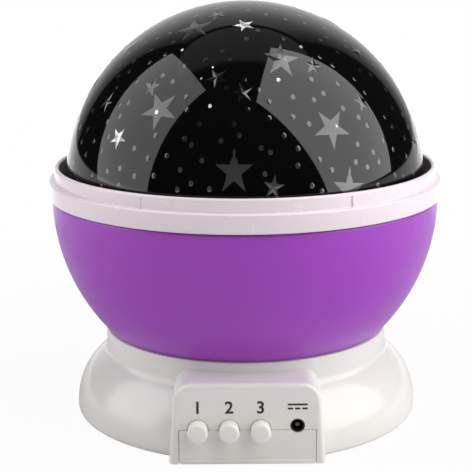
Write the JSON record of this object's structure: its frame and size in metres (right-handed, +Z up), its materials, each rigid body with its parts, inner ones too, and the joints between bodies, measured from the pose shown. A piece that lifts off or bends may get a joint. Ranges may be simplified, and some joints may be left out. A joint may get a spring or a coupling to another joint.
{
  "type": "star night light projector",
  "caption": "Table night light that projects stars: a glossy dome with star windows on a round head that a geared motor turns above a battery base with push buttons.",
  "frame": {"origin": "on the floor plane under the axis that the head turns on", "axes": "+Z up along the head's axis, -Y to the front where the control panel is, +X to the right as seen from the front"},
  "size_m": [0.1296, 0.1296, 0.1367],
  "materials": {
    "dome_plastic": "black coat inside a clear glossy shell",
    "ring_plastic": "gloss",
    "bowl_plastic": "satin gloss",
    "base_plastic": "gloss",
    "button_plastic": "gloss",
    "inner_plastic": "moulded",
    "gear_plastic": "moulded",
    "bush_brass": "turned",
    "screw_steel": "plated",
    "cell_jacket": "gloss",
    "contact_metal": "nickel plated",
    "foot_rubber": "matte",
    "gearbox_plastic": "moulded",
    "motor_metal": "plated",
    "washer_plastic": "smooth",
    "board_laminate": "varnished",
    "lamp_resin": "clear",
    "lens_plastic": "frosted",
    "switch_plastic": "moulded",
    "jack_plastic": "moulded",
    "lead_jacket": "smooth"
  },
  "bodies": {
    "base": {"base_shell": "base_plastic", "base_floor": "base_plastic", "battery_cells": "cell_jacket", "leaf_contacts": "contact_metal", "flat_contacts": "contact_metal", "floor_screws": "screw_steel", "rubber_feet": "foot_rubber", "motor_plate": "inner_plastic", "plate_screws": "screw_steel", "motor_gearbox": "gearbox_plastic", "motor_can": "motor_metal", "motor_screws": "screw_steel", "centre_column": "inner_plastic", "column_screws": "screw_steel", "thrust_washer": "washer_plastic", "retaining_clip": "contact_metal", "lamp_holder": "inner_plastic", "lamp_board": "board_laminate", "lamps": "lamp_resin", "lamp_board_screws": "screw_steel", "lamp_lens": "lens_plastic", "control_board": "board_laminate", "board_screws": "screw_steel", "tact_switches": "switch_plastic", "dc_jack": "jack_plastic", "dc_jack_pin": "contact_metal", "lamp_lead": "lead_jacket", "motor_lead": "lead_jacket"},
    "head": {"star_dome": "dome_plastic", "rim_ring": "ring_plastic", "bowl": "bowl_plastic", "light_tray": "inner_plastic", "turntable_gear": "gear_plastic", "hub_bush": "bush_brass", "gear_screws": "screw_steel"},
    "pinion": {"drive_pinion": "gear_plastic", "motor_shaft": "screw_steel"},
    "warm_light_key": {"warm_light_button": "button_plastic"},
    "colour_key": {"colour_button": "button_plastic"},
    "spin_key": {"spin_button": "button_plastic"},
    "door": {"battery_door": "base_plastic", "door_screw": "screw_steel"}
  },
  "joints": [
    {"name": "head_spin", "type": "hinge", "parent": "base", "child": "head", "pos_m": [0, 0, 0.0285], "axis": [0, 0, 1], "continuous": true},
    {"name": "pinion_spin", "type": "hinge", "parent": "base", "child": "pinion", "pos_m": [0, -0.0225, 0.0245], "axis": [0, 0, 1], "continuous": true},
    {"name": "warm_light_press", "type": "slide", "parent": "base", "child": "warm_light_key", "axis": [0, 1, 0], "range_m": [0, 0.001], "stiffness_N_per_m": 800, "springref_m": -0.0005},
    {"name": "colour_press", "type": "slide", "parent": "base", "child": "colour_key", "axis": [0, 1, 0], "range_m": [0, 0.001], "stiffness_N_per_m": 800, "springref_m": -0.0005},
    {"name": "spin_press", "type": "slide", "parent": "base", "child": "spin_key", "axis": [0, 1, 0], "range_m": [0, 0.001], "stiffness_N_per_m": 800, "springref_m": -0.0005},
    {"name": "door_drop", "type": "slide", "parent": "base", "child": "door", "axis": [0, 0, -1], "range_m": [0, 0.015]}
  ],
  "couplings": [
    {"joint": "pinion_spin", "follows": "head_spin", "ratio": 4}
  ]
}
